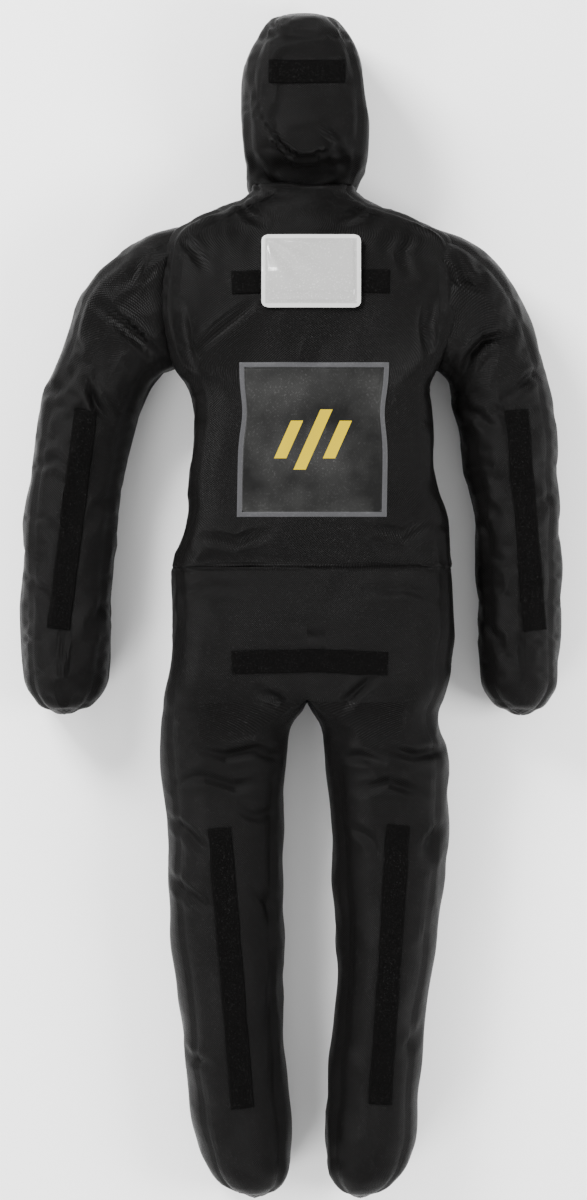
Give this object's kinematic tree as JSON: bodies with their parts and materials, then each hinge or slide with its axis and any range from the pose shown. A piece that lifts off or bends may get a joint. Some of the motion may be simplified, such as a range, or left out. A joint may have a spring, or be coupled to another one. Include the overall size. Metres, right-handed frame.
{
  "type": "grappling dummy",
  "caption": "Stuffed fabric practice dummy lying on its back, with boxed head, torso, arms and legs, loop tapes and a clear card pocket.",
  "frame": {"origin": "middle of the footprint on the floor, under the dummy's back", "axes": "+Y towards the head, +Z out of the chest, +X towards the dummy's left arm"},
  "size_m": [0.582, 1.278, 0.1376],
  "materials": {
    "cover_fabric": "matte",
    "filling": "matte",
    "loop_tape": "matte",
    "print_frame": "satin",
    "print_field": "satin",
    "pocket_vinyl": "gloss",
    "card": "matte"
  },
  "bodies": {
    "torso": {"torso_front_panel": "cover_fabric", "torso_side_gusset": "cover_fabric", "torso_back_panel": "cover_fabric", "torso_filling": "filling", "chest_strip": "loop_tape", "print_frame": "print_frame", "print_field": "print_field", "right_shoulder_cover": "cover_fabric", "right_shoulder_filling": "filling", "left_shoulder_cover": "cover_fabric", "left_shoulder_filling": "filling"},
    "head": {"head_front_panel": "cover_fabric", "head_side_gusset": "cover_fabric", "head_back_panel": "cover_fabric", "head_filling": "filling", "forehead_strip": "loop_tape"},
    "pelvis": {"pelvis_front_panel": "cover_fabric", "pelvis_side_gusset": "cover_fabric", "pelvis_back_panel": "cover_fabric", "pelvis_filling": "filling", "pelvis_strip": "loop_tape"},
    "right_arm": {"right_arm_front_panel": "cover_fabric", "right_arm_side_gusset": "cover_fabric", "right_arm_back_panel": "cover_fabric", "right_arm_filling": "filling", "right_arm_strip": "loop_tape"},
    "left_arm": {"left_arm_front_panel": "cover_fabric", "left_arm_side_gusset": "cover_fabric", "left_arm_back_panel": "cover_fabric", "left_arm_filling": "filling", "left_arm_strip": "loop_tape"},
    "right_leg": {"right_leg_front_panel": "cover_fabric", "right_leg_side_gusset": "cover_fabric", "right_leg_back_panel": "cover_fabric", "right_leg_filling": "filling", "right_leg_strip": "loop_tape"},
    "left_leg": {"left_leg_front_panel": "cover_fabric", "left_leg_side_gusset": "cover_fabric", "left_leg_back_panel": "cover_fabric", "left_leg_filling": "filling", "left_leg_strip": "loop_tape"},
    "card_pocket": {"pocket_hook_strip": "loop_tape", "pocket_back_sheet": "pocket_vinyl", "pocket_card": "card", "pocket_front_sheet": "pocket_vinyl"}
  },
  "joints": [
    {"name": "neck", "type": "hinge", "parent": "torso", "child": "head", "pos_m": [0.013, 0.478, 0.045], "axis": [1, 0, 0], "range_deg": [0, 30]},
    {"name": "waist", "type": "hinge", "parent": "torso", "child": "pelvis", "pos_m": [0.023, 0.057, 0.065], "axis": [-1, 0, 0], "range_deg": [0, 40]},
    {"name": "right_shoulder", "type": "hinge", "parent": "torso", "child": "right_arm", "pos_m": [-0.207, 0.244, 0.044], "axis": [-0.866, 0.5, 0], "range_deg": [0, 70]},
    {"name": "left_shoulder", "type": "hinge", "parent": "torso", "child": "left_arm", "pos_m": [0.2335, 0.244, 0.044], "axis": [-0.866, -0.5, 0], "range_deg": [0, 70]},
    {"name": "right_hip", "type": "hinge", "parent": "pelvis", "child": "right_leg", "pos_m": [-0.074, -0.16, 0.052], "axis": [-1, 0, 0], "range_deg": [0, 80]},
    {"name": "left_hip", "type": "hinge", "parent": "pelvis", "child": "left_leg", "pos_m": [0.105, -0.16, 0.052], "axis": [-1, 0, 0], "range_deg": [0, 80]},
    {"name": "pocket_peel", "type": "slide", "parent": "torso", "child": "card_pocket", "axis": [0, 0, 1], "range_m": [0, 0.06]}
  ]
}
